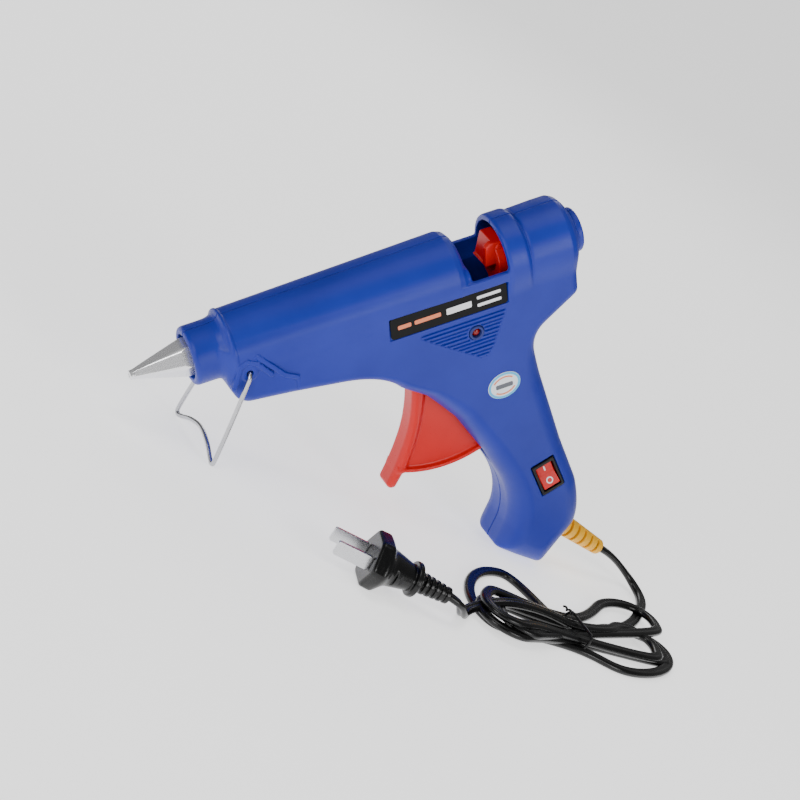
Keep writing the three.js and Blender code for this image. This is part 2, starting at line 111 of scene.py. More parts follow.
def finish(name, colour, roughness, metallic=0.0, grain=900, depth=0.00002, tone=0.10,
           uneven=0.06, brushed=None, **constants):
    """A material with fine moulded or machined grain, uneven gloss and slow changes of tone."""
    material = bpy.data.materials.new(name)
    material.use_nodes = True
    tree = material.node_tree
    shader = tree.nodes["Principled BSDF"]
    for socket, value in {"Metallic": metallic, **constants}.items():
        shader.inputs[socket].default_value = value
    place = node(tree, "TexCoord")
    spread = node(tree, "Mapping")
    spread.inputs["Scale"].default_value = brushed or (1, 1, 1)
    tree.links.new(place.outputs["Object"], spread.inputs["Vector"])
    fine = node(tree, "TexNoise", Scale=grain, Detail=3.0, Roughness=0.6)
    slow = node(tree, "TexNoise", Scale=38.0, Detail=4.0, Roughness=0.55)
    tree.links.new(spread.outputs["Vector"], fine.inputs["Vector"])
    tree.links.new(place.outputs["Object"], slow.inputs["Vector"])
    tones = node(tree, "ValToRGB")
    dark = [c * (1 - tone) for c in colour]
    light = [min(1, c * (1 + tone) + 0.004) for c in colour]
    tones.color_ramp.elements[0].position = 0.3
    tones.color_ramp.elements[1].position = 0.7
    tones.color_ramp.elements[0].color = (*dark, 1)
    tones.color_ramp.elements[1].color = (*light, 1)
    tree.links.new(slow.outputs["Fac"], tones.inputs["Fac"])
    tree.links.new(tones.outputs["Color"], shader.inputs["Base Color"])
    gloss = node(tree, "MapRange")
    gloss.inputs["From Min"].default_value = 0.3
    gloss.inputs["From Max"].default_value = 0.7
    gloss.inputs["To Min"].default_value = max(0.02, roughness - uneven)
    gloss.inputs["To Max"].default_value = roughness + uneven
    tree.links.new(fine.outputs["Fac"], gloss.inputs["Value"])
    tree.links.new(gloss.outputs["Result"], shader.inputs["Roughness"])
    bump = node(tree, "Bump", Strength=0.35, Distance=depth)
    tree.links.new(fine.outputs["Fac"], bump.inputs["Height"])
    tree.links.new(bump.outputs["Normal"], shader.inputs["Normal"])
    return material


BLUE = finish("blue_abs", (0.006, 0.019, 0.31), 0.42, grain=1500, depth=0.00002, tone=0.08,
              **{"Specular IOR Level": 0.35})
BLUE_DARK = finish("blue_groove", (0.008, 0.018, 0.16), 0.6)
RED = finish("red_nylon", (0.62, 0.004, 0.002), 0.30, grain=1500, depth=0.00001, tone=0.05, uneven=0.03,
             **{"Specular IOR Level": 0.35})
BLACK = finish("black_abs", (0.002, 0.002, 0.0022), 0.34, grain=1200, depth=0.00001,
               **{"Specular IOR Level": 0.3})
CORD = finish("cord_pvc", (0.0012, 0.0012, 0.0014), 0.26, grain=900, depth=0.00001, uneven=0.04,
              **{"Specular IOR Level": 0.35})
YELLOW = finish("yellow_pvc", (0.92, 0.46, 0.005), 0.40, grain=1200, depth=0.00001, tone=0.06)
NOZZLE = finish("nozzle_nickel", (0.90, 0.90, 0.92), 0.26, 0.8, grain=1400, depth=0.0000008,
                tone=0.04, uneven=0.02)
STEEL = finish("bright_wire", (0.50, 0.50, 0.52), 0.24, 1.0, grain=900, tone=0.08)
BLADE = finish("plated_blade", (0.62, 0.62, 0.64), 0.26, 1.0, grain=900, brushed=(1, 1, 8))
ALUMINIUM = finish("cast_aluminium", (0.62, 0.63, 0.65), 0.45, 1.0, grain=350, depth=0.00008)
CERAMIC = finish("ceramic", (0.80, 0.77, 0.70), 0.60, grain=500, depth=0.00006)
SILICONE = finish("silicone", (0.50, 0.05, 0.03), 0.55, grain=500)
NATURAL = finish("natural_nylon", (0.75, 0.71, 0.62), 0.42, grain=700)
LABEL_FILM = finish("label_film", (0.001, 0.001, 0.0012), 0.45, grain=300, uneven=0.03,
                    **{"Specular IOR Level": 0.15})
PRINT_GREY = finish("print_grey", (0.10, 0.11, 0.13), 0.4, tone=0.03)
PRINT_WHITE = finish("print_white", (0.85, 0.86, 0.88), 0.35, tone=0.03)
PRINT_ORANGE = finish("print_orange", (0.80, 0.20, 0.08), 0.35, tone=0.04)
PRINT_CYAN = finish("print_cyan", (0.06, 0.50, 0.85), 0.35, tone=0.04)
STICKER_FILM = finish("sticker_vinyl", (0.84, 0.88, 0.92), 0.25, tone=0.03, uneven=0.03)
LENS = finish("led_red", (0.35, 0.004, 0.004), 0.08, grain=200, uneven=0.03,
              **{"Transmission Weight": 0.4, "IOR": 1.5})
BOARD = finish("solder_mask", (0.02, 0.16, 0.06), 0.35, grain=900)
LEAD = finish("lead_braid", (0.70, 0.70, 0.70), 0.65, grain=2500, depth=0.00012)


# ---------- meshes ----------
def piece(name, points, faces, material, body, matrix=GUN, normals=None, angle=35):
    """A mesh in its own millimetre frame, brought to the row frame and given to a CAD body."""
    mesh = bpy.data.meshes.new(name)
    mesh.from_pydata([tuple(p) for p in points], [], [tuple(f) for f in faces])
    mesh.update()
    mesh.transform(matrix)
    mesh.materials.append(material)
    for polygon in mesh.polygons:
        polygon.use_smooth = True
    if normals is not None:
        turn = np.array(matrix.to_3x3().normalized())
        mesh.normals_split_custom_set_from_vertices((normals @ turn.T).tolist())
    else:
        mesh.set_sharp_from_angle(angle=math.radians(angle))
    made = bpy.data.objects.new(name, mesh)
    bpy.context.scene.collection.objects.link(made)
    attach(made, body)
    return made


# ---------- distance fields: negative inside, millimetres ----------
def join(a, b, k=0.01):
    h = np.clip(0.5 + 0.5 * (b - a) / k, 0, 1)
    return b + (a - b) * h - k * h * (1 - h)


def cut(a, b, k=0.01):
    return -join(-a, b, k)


def common(a, b, k=0.01):
    return -join(-a, -b, k)


def rounded(a, b, r):
    """Where two distances meet in a square edge of radius r."""
    p = a + r
    q = b + r
    return np.minimum(np.maximum(p, q), 0) + np.hypot(np.maximum(p, 0), np.maximum(q, 0)) - r


def ramp(value, low, high):
    t = np.clip((value - low) / (high - low), 0, 1)
    return t * t * (3 - 2 * t)


def block(x, y, z, low, high, r=0.3):
    """A box with rounded edges."""
    a = np.abs(x - (low[0] + high[0]) / 2) - (high[0] - low[0]) / 2
    b = np.abs(y - (low[1] + high[1]) / 2) - (high[1] - low[1]) / 2
    c = np.abs(z - (low[2] + high[2]) / 2) - (high[2] - low[2]) / 2
    return rounded(rounded(a, b, r), c, r)


def post(x, y, z, at, radius, z0, z1, r=0.2):
    """A round pin across the gun."""
    return rounded(np.hypot(x - at[0], y - at[1]) - radius, np.abs(z - (z0 + z1) / 2) - (z1 - z0) / 2, r)


def capsule(x, y, a, b):
    """Distance from the line between two points of the side view."""
    ux, uy = b[0] - a[0], b[1] - a[1]
    t = np.clip(((x - a[0]) * ux + (y - a[1]) * uy) / (ux * ux + uy * uy), 0, 1)
    return np.hypot(x - a[0] - t * ux, y - a[1] - t * uy)


class Outline:
    """The distance to a closed outline of the plane, kept as a smooth grid."""

    def __init__(self, points, soften=0, step=0.25, room=30):
        points = np.array(points, float)
        self.low = points.min(0) - room
        count = np.ceil((points.max(0) + room - self.low) / step).astype(int) + 1
        self.step = step
        u = (self.low[0] + step * np.arange(count[0]))[:, None]
        v = (self.low[1] + step * np.arange(count[1]))[None, :]
        near = np.full((count[0], count[1]), 1e9)
        inside = np.zeros((count[0], count[1]), bool)
        for a, b in zip(points, np.roll(points, -1, axis=0)):
            e = b - a
            if np.hypot(*e) < 1e-9:
                continue
            near = np.minimum(near, capsule(u, v, a, b))
            crosses = (a[1] > v) != (b[1] > v)
            inside ^= crosses & (u < a[0] + (v - a[1]) * e[0] / (e[1] if e[1] else 1))
        grid = np.where(inside, -near, near)
        for _ in range(int(round(soften / step)) ** 2):
            grid[1:-1, 1:-1] = (grid[:-2, 1:-1] + grid[2:, 1:-1] + grid[1:-1, :-2] + grid[1:-1, 2:]) / 4
        self.grid = grid

    def __call__(self, u, v):
        a = np.clip((u - self.low[0]) / self.step, 0, self.grid.shape[0] - 1.001)
        b = np.clip((v - self.low[1]) / self.step, 0, self.grid.shape[1] - 1.001)
        i, j = a.astype(int), b.astype(int)
        s, t = a - i, b - j
        g = self.grid
        return ((g[i, j] * (1 - s) + g[i + 1, j] * s) * (1 - t)
                + (g[i, j + 1] * (1 - s) + g[i + 1, j + 1] * s) * t)


def bent(start, control, end, count=8):
    """Points of a quadratic curve, without its start."""
    t = np.linspace(0, 1, count + 1)[1:, None]
    a, b, c = (np.array(p, float) for p in (start, control, end))
    return [tuple(p) for p in (1 - t) ** 2 * a + 2 * t * (1 - t) * b + t ** 2 * c]


def surface(field, low, high, step):
    """The zero surface of a field as points, quads and normals, by surface nets."""
    axes = [np.arange(a, b + step, step) for a, b in zip(low, high)]
    x, y, z = axes[0][:, None, None], axes[1][None, :, None], axes[2][None, None, :]
    shape = tuple(len(a) for a in axes)
    values = np.broadcast_to(field(x, y, z), shape).astype(np.float32)
    inside = values < 0
    cells = tuple(n - 1 for n in shape)
    count = np.zeros(cells, np.int8)
    corners = [(i, j, k) for i in (0, 1) for j in (0, 1) for k in (0, 1)]
    for i, j, k in corners:
        count += inside[i:i + cells[0], j:j + cells[1], k:k + cells[2]]
    cell = np.argwhere((count > 0) & (count < 8))
    number = np.full(cells, -1, np.int32)
    number[tuple(cell.T)] = np.arange(len(cell))
    total, hits = np.zeros((len(cell), 3)), np.zeros((len(cell), 1))
    for a in corners:
        for axis in range(3):
            if a[axis]:
                continue
            b = tuple(a[n] + (n == axis) for n in range(3))
            va, vb = values[tuple((cell + a).T)], values[tuple((cell + b).T)]
            crossed = (va < 0) != (vb < 0)
            t = np.where(crossed, va / np.where(crossed, va - vb, 1), 0)
            at = np.array(a) + t[:, None] * (np.array(b) - np.array(a))
            total += at * crossed[:, None]
            hits += crossed[:, None]
    points = (cell + total / hits) * step + [a[0] for a in axes]
    faces = []
    for axis in range(3):
        n = [slice(1, s - 1) for s in shape]
        n[axis] = slice(0, shape[axis] - 1)
        m = list(n)
        m[axis] = slice(1, shape[axis])
        first, second = inside[tuple(n)], inside[tuple(m)]
        edge = np.argwhere(first != second) + [s.start for s in n]
        out = inside[tuple(edge.T)]
        p, q = (axis + 1) % 3, (axis + 2) % 3
        ring = []
        for dp, dq in ((0, 0), (-1, 0), (-1, -1), (0, -1)):
            c = edge.copy()
            c[:, p] += dp
            c[:, q] += dq
            ring.append(number[tuple(c.T)])
        quad = np.stack(ring, axis=1)
        faces.append(np.where(out[:, None], quad, quad[:, ::-1]))

    def slope(at):
        h = 0.06
        shift = [field(*(at + h * np.eye(3)[n]).T) - field(*(at - h * np.eye(3)[n]).T) for n in range(3)]
        return np.stack(shift, axis=1) / (2 * h)

    for _ in range(3):
        g = slope(points)
        move = field(*points.T)[:, None] * g / np.maximum((g ** 2).sum(1), 0.2)[:, None]
        size = np.linalg.norm(move, axis=1, keepdims=True)
        points = points - move * np.minimum(1, 0.4 * step / np.maximum(size, 1e-9))
    g = slope(points)
    normals = g / np.maximum(np.linalg.norm(g, axis=1, keepdims=True), 1e-9)
    return points, np.concatenate(faces), normals


def carved(name, field, low, high, step, material, body, matrix=GUN):
    points, faces, normals = surface(field, low, high, step)
    return piece(name, points, faces, material, body, matrix, normals)


# ---------- housing ----------
def body_line():
    """Side outline of the belly, the rear box and the handle."""
    points = [(36, -5), (36.8, -13), (39.8, -20), (43.5, -22.4), (63, -24.8), (86.5, -28.4)]
    points += bent((86.5, -28.4), (104, -31.5), (110.5, -41.5))
    points += [(122, -51), (135, -68.5), (146, -90.5), (151, -103)]
    points += bent((151, -103), (159, -121), (153.5, -134.5))
    points += [(147, -145), (155.5, -152.8), (166.8, -162.4), (185.5, -145.5)]
    points += bent((185.5, -145.5), (190.3, -139), (188.6, -122))
    points += [(182.8, -98), (173.3, -48)]
    points += bent((173.3, -48), (170.6, -36.5), (177, -32))
    return points + [(194, -21.4), (194, 6), (36, 6)]


BODY_LINE = Outline(body_line(), soften=1.4)
SLOT_LINE = Outline([(108, -30), (104, -60), (124, -101), (150.5, -100.5), (155, -97.5),
                     (142, -66), (126, -40)], soften=0.6)
NOSE_BARREL = Outline([(24.6, -5), (24.6, 11.2), (25.1, 12.1), (26.2, 12.5), (33.5, 12.5),
                       (36, 12.6), (38.2, 13.1), (39.5, 14), (40.1, 15.1), (40.6, 15.4),
                       (41.3, 15.4), (41.7, 14.9), (139.5, 17.4), (142, 16.6), (143.6, 14.6),
                       (144.6, 11.8), (145, 9), (145, -5)], soften=0.3)
REAR_BARREL = Outline([(161.4, -5), (161.4, 16.6), (162, 17.6), (163.4, 17.95), (170.3, 17.95),
                       (171.4, 17.6), (172, 16.5), (172.6, 16.2), (173.1, 16.9), (174, 17.05),
                       (185, 17.4), (191.3, 17.4), (193.4, 16.3), (195.2, 14.1), (196.6, 11.3),
                       (196.9, 9.9), (197.3, 9.2), (197.9, 9.6), (199.7, 9.7), (200.4, 9),
                       (200.4, -5)], soften=0.3)
ROOM_LINE = Outline([(20, -5), (20, 9.4), (44, 9.4), (46, 12.4), (139, 15.1), (141.6, 13),
                     (142.8, 9), (142.8, 6.7), (146, 6.7), (146, 15.2), (174, 15.2),
                     (176, 14.4), (176, 6.3), (206, 6.3), (206, -5)], soften=0.3)


def turned_in(x, y, at, turn):
    """Side-view coordinates about a point, along and across a turned axis."""
    a, b = x - at[0], y - at[1]
    return (a * math.cos(turn) + b * math.sin(turn), -a * math.sin(turn) + b * math.cos(turn))


def housing_skin(x, y, z):
    r = np.hypot(y, z)
    side = np.abs(z) - (14.7 + 1.1 * ramp(x, 40, 120))
    edge = 4.0 + 5.6 * ramp(-y, 30, 62)
    slab = rounded(BODY_LINE(x, y), side, edge)
    trough = rounded(rounded(r - 17.4, np.abs(x - 153) - 14, 0.5), y - 1.7, 0.8)
    barrel = np.minimum(NOSE_BARREL(x, r), REAR_BARREL(x, r))
    skin = join(join(barrel, slab, 2.2), trough, 0.6)
    for a, b in (((38, -11.5), (42, -2.4)), ((42, -2.4), (45.2, -1.2)), ((45.2, -1.2), (49, -3.4)),
                 ((49, -3.4), (54.4, -10.6)), ((49.4, 0), (60, -13)), ((60, -13), (65, -16))):
        ridge = rounded(capsule(x, y, a, b) - 1.1, np.abs(z) - 15.9, 0.35)
        skin = join(skin, ridge, 0.25)
    boss = rounded(np.hypot(x - STAND_PIN[0], y - STAND_PIN[1]) - 3.6, np.abs(z) - 15.4, 0.8)
    skin = join(skin, boss, 1.0)
    groove = np.hypot(capsule(x, y, (65, -17), (65, -26)), np.abs(z) - 15.3) - 0.6
    return cut(skin, groove, 0.4)


def housing(x, y, z):
    r = np.hypot(y, z)
    flat = BODY_LINE(x, y)
    side = np.abs(z) - (14.7 + 1.1 * ramp(x, 40, 120))
    edge = 1.8 + 5.6 * ramp(-y, 30, 62)
    rooms = np.minimum(rounded(flat + 2.2, side + 2.2, edge), ROOM_LINE(x, r))
    for at in SCREWS:
        rooms = cut(rooms, np.hypot(x - at[0], y - at[1]) - 4.2)
    shell = cut(housing_skin(x, y, z), rooms, 0.3)
    window = rounded(np.abs(x - 153.5) - 8.2, 1.7 - y, 1.2)
    shell = cut(shell, window, 0.9)
    hood = rounded(rounded(np.hypot(y, z) - 15.2, np.abs(x - 160) - 14, 0.5), 1.7 - y, 0.5)
    shell = cut(shell, hood, 0.8)
    shell = cut(shell, rounded(SLOT_LINE(x, y), np.abs(z) - 6.3, 0.6), 0.9)
    shell = cut(shell, np.hypot(x - STAND_PIN[0], y - STAND_PIN[1]) - 1.4, 0.4)
    shell = cut(shell, post(x, y, z, PIVOT, 2.3, -14, 14))
    a, b = turned_in(x, y, SWITCH, SWITCH_TURN)
    shell = cut(shell, block(a, b, z, (-5.8, -9.1, 9), (5.8, 9.1, 22), 0.6), 0.5)
    shell = cut(shell, block(a, b, z, (-4.9, -7.3, 0), (4.9, 7.3, 22), 0.3), 0.2)
    a, b = turned_in(x, y, RELIEF_FROM, math.atan2(RELIEF_DIRECTION[1], RELIEF_DIRECTION[0]))
    bore = np.hypot(b, z)
    shell = cut(shell, rounded(bore - 6.0, np.abs(a) - 7, 0.3), 0.6)
    shell = cut(shell, np.maximum(bore - 4.6, np.abs(a + 7) - 8))
    for at in SCREWS:
        shell = cut(shell, post(x, y, z, at, 3.5, -22, -10), 0.5)
        shell = cut(shell, post(x, y, z, at, 1.6, -11, 9))
    return shell


VENT_LINE = Outline([(117.5, -16.2), (160.5, -16.2), (157.5, -22), (153, -33), (149.6, -37.6),
                     (146.4, -37.2), (132, -27)], soften=0.8)


def left_half(x, y, z):
    shell = cut(housing(x, y, z), post(x, y, z, LED, 3.4, 9, 22), 0.5)
    a, b = LABEL
    pocket = block(x, y, z, (a[0] - 0.4, a[1] - 0.4, LABEL_FACE - 0.9), (b[0] + 0.4, b[1] + 0.4, 24), 0.3)
    shell = cut(shell, pocket, 0.4)
    shell = cut(shell, rounded(VENT_LINE(x, y) + 0.35, 14.9 - z, 0.1), 0.1)
    return common(shell, 0.12 - z, 0.5)


def right_half(x, y, z):
    return common(housing(x, y, z), z + 0.12, 0.5)


left = carved("housing_left", left_half, (22, -167, -1.5), (205, 20, 20), FINE, BLUE, "housing")
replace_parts(left, "left_housing")
right = carved("housing_right", right_half, (22, -167, -20), (205, 20, 1.5), FINE, BLUE, "housing")
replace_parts(right, "right_housing")


def height_patch(name, shape, height, low, high, step, base, material, body):
    """A moulded patch in a recess: its top follows a height function and its foot is at base."""
    xs, ys = np.arange(low[0], high[0] + step, step), np.arange(low[1], high[1] + step, step)
    x, y = np.meshgrid(xs, ys, indexing="ij")
    inside = shape(x, y) < 0
    number = np.full(x.shape, -1)
    used = np.zeros(x.shape, bool)
    full = inside[:-1, :-1] & inside[1:, :-1] & inside[1:, 1:] & inside[:-1, 1:]
    for i, j in ((0, 0), (1, 0), (1, 1), (0, 1)):
        used[i:x.shape[0] - 1 + i, j:x.shape[1] - 1 + j] |= full
    number[used] = np.arange(used.sum())
    top = np.stack([x[used], y[used], height(x, y)[used]], axis=1)
    foot = top.copy()
    foot[:, 2] = base
    quads = np.stack([number[:-1, :-1], number[1:, :-1], number[1:, 1:], number[:-1, 1:]], -1)[full]
    faces = [tuple(q) for q in quads] + [tuple(q[::-1] + len(top)) for q in quads]
    edges = {}
    for q in quads.tolist():
        for a, b in zip(q, q[1:] + q[:1]):
            edges[(a, b)] = True
    faces += [(b, a, a + len(top), b + len(top)) for a, b in edges if (b, a) not in edges]
    return piece(name, np.concatenate([top, foot]), faces, material, body, angle=50)


def vent_height(x, y):
    """Grooves parallel to the barrel, 1.85 mm apart, with a plain ring left around the indicator."""
    wave = np.abs(((y + 16.9) / 1.85) % 1 - 0.5) * 1.85
    depth = 0.75 * ramp(wave, 0.36, 0.60)
    clear = ramp(np.hypot(x - LED[0], y - LED[1]), 3.9, 4.4) * ramp(-VENT_LINE(x, y), 0.36, 0.8)
    return 15.79 - depth * clear


def vent_area(x, y):
    return np.maximum(VENT_LINE(x, y) + 0.02, 3.5 - np.hypot(x - LED[0], y - LED[1]))


height_patch("vent_panel", vent_area, vent_height, (116, -39), (162, -15),
             0.24, 14.6, BLUE, "housing")


# ---------- swept and plain pieces ----------
def spline(points, per_span=8, closed=False):
    """Points of a smooth curve through the given ones."""
    p = np.array(points, float)
    p = np.concatenate([p[-1:], p, p[:2]] if closed else [[2 * p[0] - p[1]], p, [2 * p[-1] - p[-2]]])
    t = np.linspace(0, 1, per_span, endpoint=False)[:, None]
    line = []
    for a, b, c, d in zip(p, p[1:], p[2:], p[3:]):
        line.append(0.5 * (2 * b + (c - a) * t + (2 * a - 5 * b + 4 * c - d) * t ** 2
                           + (3 * b - a - 3 * c + d) * t ** 3))
    return np.concatenate(line + ([] if closed else [p[-2:-1]]))


def sweep(name, line, section, material, body, matrix=GUN, closed=False, top=(0, 0, 1)):
    """A tube along a line. The section lists (across, upward) points and may depend on the share run."""
    line = np.asarray(line, float)
    if closed:
        along = np.roll(line, -1, 0) - np.roll(line, 1, 0)
    else:
        along = np.gradient(line, axis=0)
    along /= np.linalg.norm(along, axis=1, keepdims=True)
    across = np.cross(along, top)
    weak = np.linalg.norm(across, axis=1) < 0.15
    across[weak] = np.cross(along[weak], (0.3, 0.9, 0.1))
    across /= np.linalg.norm(across, axis=1, keepdims=True)
    upward = np.cross(across, along)
    rings = []
    for i, centre in enumerate(line):
        shape = np.array(section(i / (len(line) - 1)) if callable(section) else section)
        rings.append(centre + shape[:, :1] * across[i] + shape[:, 1:] * upward[i])
    n = len(rings[0])
    points = np.concatenate(rings)
    faces = []
    for i in range(len(line) if closed else len(line) - 1):
        j = (i + 1) % len(line)
        faces += [(i * n + k, i * n + (k + 1) % n, j * n + (k + 1) % n, j * n + k) for k in range(n)]
    if not closed:
        faces += [tuple(range(n))[::-1], tuple(range(len(points) - n, len(points)))]
    return piece(name, points, faces, material, body, matrix, angle=60)


def circle(radius, sides=16):
    return [(radius * math.cos(2 * math.pi * k / sides), radius * math.sin(2 * math.pi * k / sides))
            for k in range(sides)]


def slab(name, outline, z0, z1, bevel, material, body, matrix=GUN, slot=None):
    """A plate with a small chamfer round its top edge."""
    points = np.array(outline, float)
    middle = points.mean(0)
    reach = np.linalg.norm(points - middle, axis=1, keepdims=True)
    small = points - (points - middle) / reach * bevel
    rings = [(points, z0), (points, z1 - bevel), (small, z1)]
    n = len(points)
    all_points = np.concatenate([np.column_stack([ring, np.full(n, z)]) for ring, z in rings])
    faces = [tuple(range(n))[::-1], tuple(range(2 * n, 3 * n))]
    for level in (0, n):
        faces += [(level + k, level + (k + 1) % n, level + n + (k + 1) % n, level + n + k) for k in range(n)]
    return piece(name, all_points, faces, material, body, matrix, angle=30)


def round_rectangle(low, high, r, count=6):
    points = []
    for cx, cy, start in ((high[0] - r, high[1] - r, 0), (low[0] + r, high[1] - r, 90),
                          (low[0] + r, low[1] + r, 180), (high[0] - r, low[1] + r, 270)):
        for k in range(count + 1):
            a = math.radians(start + 90 * k / count)
            points.append((cx + r * math.cos(a), cy + r * math.sin(a)))
    return points


def ring_plate(name, outer, inner, z0, z1, material, body, matrix=GUN):
    """A flat frame between two outlines with the same number of points."""
    n = len(outer)
    rows = [(outer, z0), (outer, z1), (inner, z1), (inner, z0)]
    points = np.concatenate([np.column_stack([np.array(o, float), np.full(n, z)]) for o, z in rows])
    faces = []
    for level in range(4):
        a, b = level * n, (level + 1) % 4 * n
        faces += [(a + k, a + (k + 1) % n, b + (k + 1) % n, b + k) for k in range(n)]
    return piece(name, points, faces, material, body, matrix, angle=30)


# ---------- nozzle ----------
CONE = Outline([(-0.4, -3), (0, 1.5), (0.9, 1.9), (22.5, 7.75), (24.5, 8.15), (33.6, 8.15), (34, 7.8),
                (34, -3)], soften=0.2, step=0.15, room=12)


def nozzle(x, y, z):
    r = np.hypot(y, z)
    faces = [np.abs(y * math.cos(a) + z * math.sin(a)) for a in (0, math.pi / 3, 2 * math.pi / 3)]
    flats = np.maximum(np.maximum(faces[0], faces[1]), faces[2])
    lean = 1.72 + (7.0 - 1.72) * np.clip((x - 1.4) / 20.6, 0, 1)
    body = common(CONE(x, r), flats - lean, 0.15)
    body = join(body, rounded(np.maximum(r - 2.0, np.abs(x - 1.1) - 0.9), -x, 0.2), 0.2)
    return cut(body, np.maximum(r - 0.85, x - 9), 0.15)


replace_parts(carved("nozzle_turned", nozzle, (-1, -9, -9), (35, 9, 9), 0.2,
                   NOZZLE, "housing"), "nozzle")

# ---------- wire stand ----------
WIRE_R = 0.95
FOOT_X = 22.2
FOOT_Y = -(17.4 + FOOT_X * math.sin(PITCH)) / math.cos(PITCH) + WIRE_R / math.cos(PITCH)


def stand_side(side):
    return [(STAND_PIN[0], STAND_PIN[1], side * 11.6), (STAND_PIN[0], STAND_PIN[1], side * 14.6),
            (STAND_PIN[0] - 0.8, STAND_PIN[1] - 1.4, side * 16.4),
            (STAND_PIN[0] - 2.4, STAND_PIN[1] - 3.8, side * 17),
            (33.5, -24.4, side * 19.2), (FOOT_X + 1.6, FOOT_Y + 2.6, side * 21.1),
            (FOOT_X, FOOT_Y, side * 20.1), (FOOT_X + 0.5, FOOT_Y + 0.4, side * 16.8),
            (FOOT_X + 2.4, FOOT_Y + 2.8, side * 9.4)]


wire_route = stand_side(1) + [(FOOT_X + 3.5, FOOT_Y + 4.3, 0)] + stand_side(-1)[::-1]
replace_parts(sweep("stand_bent_wire", spline(wire_route), circle(WIRE_R), STEEL, "stand", top=(1, 0, 0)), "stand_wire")

# ---------- trigger ----------
blade_line = [(116, -40), (118.3, -46)] + bent((118.3, -46), (117.6, -62), (113, -73.5))
blade_line += bent((113, -73.5), (109, -83.5), (101.6, -94.4))
blade_line += bent((101.6, -94.4), (101.6, -98), (105.4, -97.2))
blade_line += [(111.4, -89)] + bent((111.4, -89), (120, -74), (123.6, -54)) + [(124, -40)]
BLADE_LINE = Outline(blade_line, soften=0.5, room=20)


def fan_line(outer, start, end, count=24):
    turns = [math.radians(start + (end - start) * k / count) for k in range(count + 1)]
    return [PIVOT] + [(PIVOT[0] + outer * math.cos(a), PIVOT[1] + outer * math.sin(a)) for a in turns]


FAN = Outline(fan_line(51, -117, -62), room=20)
FAN_EDGE = Outline(fan_line(52, -117, -62), soften=0.3, room=20)


def trigger(x, y, z):
    r = np.hypot(x - PIVOT[0], y - PIVOT[1])
    body = rounded(BLADE_LINE(x, y), np.abs(z) - 5.5, 2.4)
    body = join(body, rounded(FAN(x, y), np.abs(z) - 3.4, 0.3), 1.6)
    rim = rounded(np.maximum(FAN_EDGE(x, y), 50.1 - r), np.abs(z) - 5.5, 0.7)
    body = join(body, rim, 1.2)
    body = join(body, post(x, y, z, PIVOT, 6, -5.5, 5.5), 1)
    peg = (PIVOT[0] + 24 * math.sin(math.radians(10)), PIVOT[1] + 24 * math.cos(math.radians(10)))
    body = join(body, rounded(capsule(x, y, PIVOT, peg) - 3.0, np.abs(z) - 2.6, 0.4), 1)
    body = join(body, post(x, y, z, peg, 1.8, -2.6, 6.4), 0.4)
    return cut(body, r - 2.2, 0.3)


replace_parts(carved("trigger_blade", trigger, (99, -99, -7), (158, -14, 8), 0.4,
                   RED, "trigger"), "trigger")


# ---------- carriage and its wedge ----------
def carriage(x, y, z):
    r = np.hypot(y, z)
    ring = rounded(rounded(r - 10.2, np.abs(x - 163.6) - 3.4, 0.6), 6.0 - r, 0.4)
    ring = join(ring, block(x, y, z, (160.4, -16, -3.2), (167, -8.5, 3.2), 0.5), 0.8)
    return cut(ring, block(x, y, z, (153, -1, -6.8), (165.2, 18, 6.8), 0.3), 0.3)


WEDGE_LINE = Outline([(155.6, -0.6), (165, -0.6), (165, 10.2), (158.6, 10.2), (156.4, 8.8)],
                     soften=0.25, room=12)
SCOOP_LINE = Outline([(150, 0.4), (156.6, 0.4), (160.6, 12.6), (150, 14)], soften=0.25, room=12)


def wedge(x, y, z):
    side = np.abs(z) - 6.4
    body = rounded(WEDGE_LINE(x, y), side, 0.7)
    scoop = rounded(SCOOP_LINE(x, y), z - 3.4, 0.3)
    body = cut(body, scoop, 0.4)
    return join(body, post(x, y, z, (162.4, 7.6), 1.4, -6.9, 6.9, 0.3), 0.3)


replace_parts(carved("carriage_ring", carriage, (153, -17, -12), (169, 12, 12), 0.35,
                   RED, "carriage"), "carriage")
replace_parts(carved("carriage_wedge", wedge, (153, 0, -8), (167, 15, 8), 0.25,
                   RED, "carriage"), "stick_gripper")


# ---------- switch ----------
def switch_frame(x, y, z):
    a, b = turned_in(x, y, SWITCH, SWITCH_TURN)
    body = block(a, b, z, (-5.5, -8.7, 12.9), (5.5, 8.7, 16.4), 0.6)
    body = join(body, block(a, b, z, (-4.6, -6.9, 2), (4.6, 6.9, 13.4), 0.3), 0.1)
    return cut(body, block(a, b, z, (-4.3, -7.1, 9), (4.3, 7.1, 22), 0.3), 0.3)


ROCKER_TILT = math.radians(8)
ROCKER_LINE = Outline([(-6.5, 15.9), (0, 14.3), (6.5, 15.9), (6.1, 10.4), (-6.1, 10.4)], soften=0.25,
                      step=0.15, room=10)


def rocker(x, y, z):
    a, b = turned_in(x, y, SWITCH, SWITCH_TURN)
    c, s = math.cos(ROCKER_TILT), math.sin(ROCKER_TILT)
    along, high = b * c - (z - 11.5) * s, b * s + (z - 11.5) * c + 11.5
    return rounded(ROCKER_LINE(along, high), np.abs(a) - 4.0, 0.4)


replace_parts(carved("switch_frame", switch_frame, (162, -121, 1), (183, -100, 18), 0.3,
                   BLACK, "housing"), "switch_body")
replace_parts(carved("switch_rocker_cap", rocker, (163, -120, 9), (182, -101, 18), 0.25,
                   RED, "rocker"), "switch_rocker")


